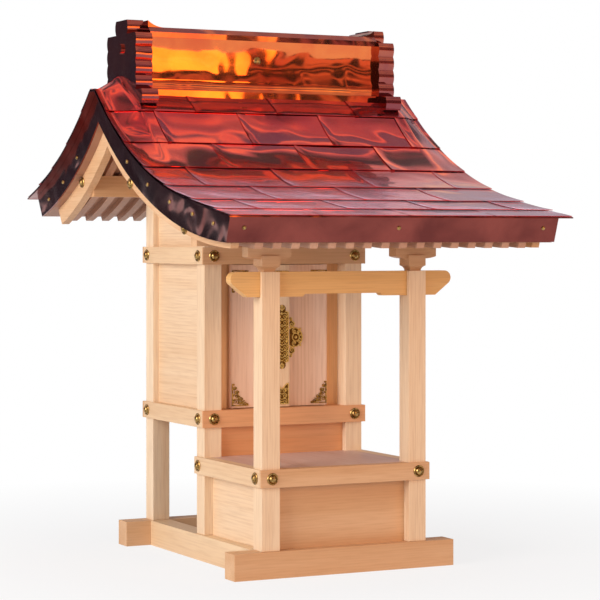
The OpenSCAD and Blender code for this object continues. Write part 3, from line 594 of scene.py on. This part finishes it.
# %% Drive the roof nails
NAIL = [(0, 0), (2.8, 0), (2.6, 0.8), (1.9, 1.4), (0.9, 1.8), (0, 1.9)]
BOSS = [(radius * 2.0, height * 1.6) for radius, height in NAIL]
BOSS_X, BOSS_Z = -12, 686
BOSS_FACES = ((55.3, -1), (133.7, 1))
BACK_FASCIA_OUT = (0, 0.846, -0.533)
FASCIA_X, FRONT_FASCIA_YZ, BACK_FASCIA_YZ = (-214, 0, 214), (-328.1, 450.5), (324.8, 483.0)
VERGE_NAILS = ((-9, 539.4), (-79, 507.4), (-151, 484), (-222, 468), (-284, 456),
               (175, 550.7), (230, 517.5), (288, 494))
nails = bmesh.new()
for x in FASCIA_X:
    turn_on_wall(nails, NAIL, (x, *FRONT_FASCIA_YZ), FRONT_FASCIA_OUT)
    turn_on_wall(nails, NAIL, (x, *BACK_FASCIA_YZ), BACK_FASCIA_OUT)
for side in (-1, 1):
    for y, z in VERGE_NAILS:
        turn_on_wall(nails, NAIL, (side * VERGE_X, y, z), (side, 0, 0))
for y, outward in BOSS_FACES:
    turn_on_wall(nails, BOSS, (BOSS_X, y, BOSS_Z), (0, outward, 0))
finish_piece("roof_nails", nails, cover_brass)

# %% [markdown]
# ## Scrolls for the door fittings
# The doors carry small plates of pierced vine scrolls, cut and chased in brass.
# A smith draws a scroll as half circles that shrink, each starting where the last one ended.
# The spin operator does the same: it sweeps a small section through half a turn, and the section is then made
# smaller for the next. The plates are drawn flat, in millimetres, with the viewer's side as +Z.

# %% Define the scroll
SCROLL_SECTION = ((-0.5, 0.3), (-0.28, 1.1), (0.28, 1.1), (0.5, 0.3))
SHRINK, THINNING = 0.64, (0.84, 0.84, 0.94)
# The chased lines are bright gold, so they stand off the plates like drawing.
fitting_brass = aged_brass("brass_door_fittings_chased", "#F5D684", "#D0A24C")
# The ground between the lines is dark brown, painted shade for the recess under the raised lines, which gives the
# plates their depth.
ground_brass_painted_shade = aged_brass("brass_ground_painted_shade", "#7E5828", "#563616")


def closed_wire(bm, points):
    verts = [bm.verts.new(point) for point in points]
    return verts + [bm.edges.new((verts[i], verts[(i + 1) % len(verts)])) for i in range(len(verts))]


def left_of(heading):
    return Vector((-math.sin(heading), math.cos(heading), 0))


def draw_scroll(bm, at, heading, radius, halves, side, width, mirror=False):
    at, heading = Vector((*at, 0)), math.radians(heading)
    before = set(bm.verts)
    ring = closed_wire(bm, [at + left_of(heading) * a * width + Vector((0, 0, h * width)) for a, h in SCROLL_SECTION])
    for half_turn in range(halves):
        across = left_of(heading) * side
        ring = bmesh.ops.spin(bm, geom=ring, cent=at + across * radius, axis=(0, 0, 1),
                              angle=side * math.pi, steps=7)["geom_last"]
        at, heading, radius = at + across * 2 * radius, heading + side * math.pi, radius * SHRINK
        bmesh.ops.scale(bm, vec=THINNING, space=Matrix.Translation(-at), verts=verts_of(ring))
    bmesh.ops.create_icosphere(bm, subdivisions=1, radius=width * 0.75,
                               matrix=Matrix.Translation(at + Vector((0, 0, 0.9))))
    if mirror:
        bmesh.ops.scale(bm, vec=(-1, 1, 1), verts=[vert for vert in bm.verts if vert not in before])


print("each half turn of a scroll is", SHRINK, "times the one before")

# %% [markdown]
# ## Other parts of a plate
# Between the scrolls a plate has round pellets, straight edges and a flat ground, and each is one small function.
# The last function stands a finished plate upright on its door.

# %% Define the pellet, the bar and the ground
GROUND_T = 0.5


def pellet(bm, a, b, radius):
    bmesh.ops.create_icosphere(bm, subdivisions=2, radius=radius,
                               matrix=Matrix.Translation((a, b, 0.6)) @ Matrix.Diagonal((1, 1, 0.7, 1)))


def bar(bm, start, end, width=1.0, height=1.4):
    run = Vector(end) - Vector(start)
    middle = (Vector(start) + Vector(end)) / 2
    bmesh.ops.create_cube(bm, size=1, matrix=Matrix.Translation((*middle, height / 2))
        @ Matrix.Rotation(math.atan2(run.y, run.x), 4, "Z") @ Matrix.Diagonal((run.length, width, height, 1)))


def ground_plate(outline):
    bm = bmesh.new()
    face = bm.faces.new([bm.verts.new((a, b, 0)) for a, b in outline])
    thicken(bm, [face], (0, 0, GROUND_T))
    return bm


def hang_fitting(name, bm, place, face_y, material, body):
    stand = Matrix(((1, 0, 0, place[0]), (0, 0, -1, face_y), (0, 1, 0, place[1]), (0, 0, 0, 1)))
    bmesh.ops.transform(bm, matrix=Matrix.Scale(MM, 4) @ stand, verts=bm.verts)
    finish_piece(name, bm, material, body)


print("grounds are", GROUND_T, "mm thick")

# %% [markdown]
# ## The long plate on the meeting strip
# The strip over the joint of the doors has one long plate with a bud at each end.
# A stem of paired scrolls fills it. One half is drawn, and the other is its mirror image.

# %% Make the long plate
STRIP_Y, LEAF_Y = 1.0, 8.0  # the faces that the plates lie on
LONG_Z, EDGE, LONG_HALF, ROW_STEP = 301, 9.5, 34, 8.6
BUD = [(9.9, 34.4), (5.6, 35.6), (5.6, 40.5), (3.6, 43.4), (0, 44.4)]
long_plate = bmesh.new()
for mirror in (False, True):
    sign = -1 if mirror else 1
    for row in range(8):
        draw_scroll(long_plate, (0.3, -29.5 + ROW_STEP * row), 62, 4.1, 3, -1, 1.4, mirror)
        pellet(long_plate, sign * 8.2, -27.6 + ROW_STEP * row, 0.9)
    bar(long_plate, (sign * EDGE, -LONG_HALF), (sign * EDGE, LONG_HALF))
    for end in (-1, 1):
        bar(long_plate, (sign * EDGE, end * LONG_HALF), (sign * 4.6, end * 35.4))
        draw_scroll(long_plate, (0.4, end * 43.2), 0, end * 3.0, 3, -1, 1.2, mirror)
for end in (-1, 1):
    pellet(long_plate, 0, end * 42.9, 1.6)
    pellet(long_plate, 0, end * 36.6, 1.2)
for row in range(9):
    pellet(long_plate, 0, -33 + 8.25 * row, 1.1)
hang_fitting("strip_plate_scrolls", long_plate, (0, LONG_Z), STRIP_Y, fitting_brass, "door_left")
upper_half = BUD + [(-a, b) for a, b in reversed(BUD[:-1])]
outline = upper_half + [(-a, -b) for a, b in upper_half]
hang_fitting("strip_plate_ground", ground_plate(outline), (0, LONG_Z), STRIP_Y, ground_brass_painted_shade, "door_left")

# %% [markdown]
# ## The end plates of the strip
# A notched plate closes the foot of the strip. The same plate, turned over, closes its head.

# %% Make the end plates
NOTCH, SHOULDER, END_H = 20, (5.6, 26.6), 29
END_OUTLINE = [(-9.9, 0), (9.9, 0), (9.9, 29.8), (5.4, 27.0), (0, 20.4), (-5.4, 27.0), (-9.9, 29.8)]
for where, z, turn in (("foot", 208, 1), ("head", 392.4, -1)):
    end_plate = bmesh.new()
    for mirror in (False, True):
        sign = -1 if mirror else 1
        shoulder = (sign * SHOULDER[0], SHOULDER[1])
        for row in range(3):
            draw_scroll(end_plate, (0.3, 6.2 + 7.2 * row), 60, 3.9 - 0.4 * row, 3, -1, 1.4, mirror)
        draw_scroll(end_plate, (9.0, 20), 100, 2.2, 2, 1, 1.2, mirror)
        bar(end_plate, (sign * EDGE, 0.4), (sign * EDGE, END_H))
        bar(end_plate, (sign * EDGE, END_H), shoulder)
        bar(end_plate, shoulder, (0, NOTCH))
    bar(end_plate, (-9.9, 0.6), (9.9, 0.6))
    pellet(end_plate, 0, 3.4, 1.2)
    ground = ground_plate(END_OUTLINE)
    for bm in (end_plate, ground):
        bmesh.ops.scale(bm, vec=(1, turn, 1), verts=bm.verts)
    hang_fitting("strip_" + where + "_scrolls", end_plate, (0, z), STRIP_Y, fitting_brass, "door_left")
    hang_fitting("strip_" + where + "_ground", ground, (0, z), STRIP_Y, ground_brass_painted_shade, "door_left")

# %% [markdown]
# ## Curls, rings and discs
# The plates on the leaves are built from rounder parts. A curl is a scroll placed by its centre, a ring is a wire
# spun round a full circle, and a disc is the flat ground under either.
# Plates that are drawn one by one are gathered into one mesh before they are hung.

# %% Define the curl, the ring and the gathering of parts
RING_SECTION = ((-0.5, 0.25), (-0.28, 0.95), (0.28, 0.95), (0.5, 0.25))


def curl(bm, centre, radius, heading, side=1, width=1.6):
    start = Vector(centre) - left_of(math.radians(heading)).xy * side * radius
    draw_scroll(bm, start, heading, radius, 3, side, width)


def wire_ring(bm, centre, radius, width):
    wire = closed_wire(bm, [(centre[0] + radius + a * width, centre[1], h * width) for a, h in RING_SECTION])
    bmesh.ops.spin(bm, geom=wire, cent=(*centre, 0), axis=(0, 0, 1), angle=math.tau, steps=32, use_merge=True)


def disc(bm, centre, radius, thick):
    rim = bmesh.ops.create_circle(bm, cap_ends=True, segments=28, radius=radius,
                                  matrix=Matrix.Translation((*centre, 0)))["verts"]
    face = next(iter(set.intersection(*[set(vert.link_faces) for vert in rim])))
    thicken(bm, [face], (0, 0, thick))


def gather(bm, into):
    held = bpy.data.meshes.new("held")
    bm.to_mesh(held)
    bm.free()
    into.from_mesh(held)
    bpy.data.meshes.remove(held)


print("rings have a section of", len(RING_SECTION), "corners")

# %% [markdown]
# ## Rosettes on the leaves
# Beside the long plate each leaf has a round rosette that runs under the strip, with curls above and below.
# The rosette is made whole and then cut off clear of the strip, so that the doors can part.
# The two leaves are mirror images.

# %% Define the rosette
ROSETTE_X, ROSETTE_Z, ROSETTE_R, STRIP_EDGE = 21.1, 300, 13.4, 13.6


def hang_rosette(side, body, name):
    rosette, ground = bmesh.new(), bmesh.new()
    wire_ring(rosette, (0, 0), ROSETTE_R, 2.0)
    wire_ring(rosette, (3.6, 0), 5.4, 1.7)
    pellet(rosette, 3.6, 0, 2.4)
    disc(ground, (0, 0), ROSETTE_R, GROUND_T)
    for end in (-1, 1):
        curl(rosette, (1.2, end * 8.6), 3.2, 180, end, 1.6)
        curl(rosette, (8.2, end * 6.6), 2.2, 90, end, 1.4)
        pellet(rosette, 11.0, end * 2.6, 1.1)
        curl(rosette, (-2.8, end * 18.4), 3.9, 0, -end, 1.8)
        curl(rosette, (-4.8, end * 25.0), 2.4, 0, -end, 1.5)
        pellet(rosette, 10.8, end * 11.4, 1.6)
        disc(ground, (-2.8, end * 18.4), 3.9, 0.45)
        disc(ground, (-4.8, end * 25.0), 2.4, 0.4)
    for bm in (rosette, ground):
        cut = bmesh.ops.bisect_plane(bm, geom=bm.verts[:] + bm.edges[:] + bm.faces[:],
                                     plane_co=(STRIP_EDGE - ROSETTE_X, 0, 0), plane_no=(-1, 0, 0),
                                     clear_outer=True)["geom_cut"]
        bmesh.ops.holes_fill(bm, edges=[part for part in cut if isinstance(part, bmesh.types.BMEdge)])
        bmesh.ops.scale(bm, vec=(side, 1, 1), verts=bm.verts)
    hang_fitting("rosette_scrolls_" + name, rosette, (side * ROSETTE_X, ROSETTE_Z), LEAF_Y, fitting_brass, body)
    hang_fitting("rosette_ground_" + name, ground, (side * ROSETTE_X, ROSETTE_Z), LEAF_Y, ground_brass_painted_shade, body)


print("a rosette is cut", round(ROSETTE_X - STRIP_EDGE, 1), "mm from its centre")

# %% [markdown]
# ## Corner plates on the leaves
# The outer corners of each leaf carry openwork plates, whose curls step down like a cloud.
# They have no ground: the wood of the door shows between the curls.
# One plate is drawn, and scaling by a negative number turns it over for the other corners.

# %% Hang the plates of both leaves
CORNER_X, FOOT_Z, HEAD_Z = 73.0, 207.2, 393.2
CORNER_STRETCH = 1.1
CORNER_CURLS = (((17.6, 4.0), 3.0, 180, 1), ((11.6, 5.2), 2.6, 0, -1), ((12.0, 10.6), 3.0, 200, 1),
                ((5.2, 5.6), 3.9, 45, 1), ((5.6, 13.6), 3.3, 90, -1), ((6.6, 19.6), 2.7, 240, 1),
                ((3.4, 25.0), 2.6, 240, 1))
# The corner plates are browner than the rest, so they sit quietly at the edges of the doors.
corner_brass = aged_brass("brass_corner_plates_browned", "#C89A50", "#6C4722")


def hang_corners(side, body, name):
    corners = bmesh.new()
    for z, turn in ((FOOT_Z, 1), (HEAD_Z, -1)):
        plate = bmesh.new()
        bar(plate, (0, 0.7), (22.6, 0.7), 1.4, 1.2)
        bar(plate, (0.7, 0), (0.7, 30.4), 1.4, 1.2)
        for centre, radius, heading, way in CORNER_CURLS:
            curl(plate, centre, radius, heading, way)
        pellet(plate, 21.4, 2.2, 1.3)
        pellet(plate, 2.4, 29.4, 1.4)
        bmesh.ops.scale(plate, vec=(-CORNER_STRETCH * side, turn, 1), verts=plate.verts)
        bmesh.ops.translate(plate, vec=(side * CORNER_X, z, 0), verts=plate.verts)
        gather(plate, corners)
    hang_fitting("corner_scrolls_" + name, corners, (0, 0), LEAF_Y, corner_brass, body)


for leaf in ((-1, "door_left", "left"), (1, "door_right", "right")):
    hang_rosette(*leaf)
    hang_corners(*leaf)

# %% [markdown]
# ## The floor
# The shrine stands on pale ground that runs out to white, so that no edge shows behind it.
# To the eye and in mirrors the floor mostly glows white, and wholly so from a metre out.
# Near the shrine a share of it is matt paper that takes the shadow, and to the lamps all of it is.

# %% Lay the floor
FLOOR_HALF_M = 30
floor_mesh = bmesh.new()
bmesh.ops.create_grid(floor_mesh, x_segments=1, y_segments=1, size=FLOOR_HALF_M)
floor = bpy.data.meshes.new("floor")
floor_mesh.to_mesh(floor)
floor_mesh.free()
# The floor is a warm white without gloss, so the shadow is soft and the ground seems to have no edge.
pale_floor, tree, shader = new_material("pale_floor", Base_Color=linear("#E2DEDC"), Roughness=0.9)
place = add_node(tree, "ShaderNodeTexCoord").outputs["Object"]
away = add_node(tree, "ShaderNodeVectorMath", {0: place}, operation="LENGTH").outputs["Value"]
path = add_node(tree, "ShaderNodeLightPath").outputs
seen = add_node(tree, "ShaderNodeMath", {0: path["Is Camera Ray"], 1: path["Is Glossy Ray"]},
    operation="MAXIMUM").outputs[0]
share = add_node(tree, "ShaderNodeMath", {0: spread(tree, away, 0.3, 1.0, 0.8, 1), 1: seen},
    operation="MULTIPLY").outputs[0]
white = add_node(tree, "ShaderNodeEmission", {"Strength": 1}).outputs[0]
mixed = add_node(tree, "ShaderNodeMixShader", {0: share, 1: shader.outputs[0], 2: white}).outputs[0]
tree.links.new(mixed, tree.nodes["Material Output"].inputs["Surface"])
floor.materials.append(pale_floor)
ground = bpy.data.objects.new("floor", floor)
bpy.context.scene.collection.objects.link(ground)
print("floor", 2 * FLOOR_HALF_M, "m wide")

# %% [markdown]
# ## The light
# A large soft light on the left does most of the work, as a window would. A warm one in front fills the shade,
# and it is kept out of mirrors. A small golden card in front is there to be mirrored in the ridge box.

# %% Hang the lamps
def area_light(name, place, target, size, watts, colour):
    lamp = bpy.data.lights.new(name, "AREA")
    lamp.size = size
    lamp.energy = watts
    lamp.color = linear(colour)[:3]
    lit = bpy.data.objects.new(name, lamp)
    lit.location = place
    lit.rotation_euler = (Vector(target) - Vector(place)).to_track_quat("-Z", "Y").to_euler()
    bpy.context.scene.collection.objects.link(lit)
    print(name, watts, "W")
    return lit


area_light("window_left", (-3.0, -0.9, 1.3), (0, 0, 0.35), 1.8, 84, "#FFF8F3")
fill = area_light("warm_fill", (0.9, -3.2, 0.9), (0, 0, 0.35), 2.2, 34, "#FFC79E")
fill.visible_glossy = False
area_light("warm_card", (0.86, -2.5, 0.93), (0, 0.05, 0.69), 0.6, 5, "#FFC056")

# %% [markdown]
# ## The room in the copper
# Polished copper looks like whatever stands round it, so the room is drawn for mirrors only.
# Its walls are grey and darken to the left and right, and warm streaks cross the wall in front.
# The ceiling is clouded, from near black through pink and one glowing band to blue.
# The eye itself sees plain white behind the shrine, and matt wood gets an even, slightly blue light.

# %% Draw the room
SHADE_LIGHT, WHITE = linear("#AAADB6"), linear("#FFFFFF")
GLOW = (*[1.5 * channel for channel in linear("#FFE3AA")[:3]], 1)
CEILING = ((0.34, linear("#503F4B")), (0.42, linear("#BCAAAD")), (0.52, linear("#E1CBC8")), (0.59, GLOW),
           (0.66, linear("#9599BC")))
CEILING_SHIFT = (-1.9, -1.2, 1.1)
room = bpy.data.worlds.new("room")
bpy.context.scene.world = room
room.use_nodes = True
tree = room.node_tree
direction = add_node(tree, "ShaderNodeTexCoord").outputs["Generated"]
parts = add_node(tree, "ShaderNodeSeparateXYZ", {"Vector": direction}).outputs

shifted = add_node(tree, "ShaderNodeMapping", {"Vector": direction, "Location": CEILING_SHIFT}).outputs[0]
clouds = add_node(tree, "ShaderNodeTexNoise", {
    "Vector": shifted, "Scale": 2.6, "Detail": 1.0, "Distortion": 1.6}).outputs["Fac"]
ceiling = add_node(tree, "ShaderNodeValToRGB", {"Fac": clouds})
stops = ceiling.color_ramp.elements
for spot, colour in CEILING:
    stops.new(spot).color = colour
stops.remove(stops[-1])
stops.remove(stops[0])

streaks = add_node(tree, "ShaderNodeTexNoise", {
    "Vector": direction, "Scale": 9, "Detail": 1.0, "Distortion": 2.0}).outputs["Fac"]
front = blend(tree, spread(tree, streaks, 0.42, 0.58), linear("#3F3038"), linear("#EDA295"))
walls = linear("#8B848E")
for share, shade in ((spread(tree, parts["X"], 0.58, 0.8), linear("#595059")),
                     (spread(tree, parts["Y"], 0.0, -0.4), front),
                     (spread(tree, parts["X"], 0.1, -0.3), linear("#4B4550"))):
    walls = blend(tree, share, walls, shade)
mirrored = blend(tree, spread(tree, parts["Z"], 0.3, 0.5), walls, ceiling.outputs["Color"])

path = add_node(tree, "ShaderNodeLightPath").outputs
unseen = blend(tree, path["Is Glossy Ray"], SHADE_LIGHT, mirrored)
room_colour = blend(tree, path["Is Camera Ray"], unseen, WHITE)
tree.links.new(room_colour, tree.nodes["Background"].inputs["Color"])
bpy.context.scene.view_settings.view_transform = "Standard"
print("a ceiling of", len(stops), "tones over four walls")
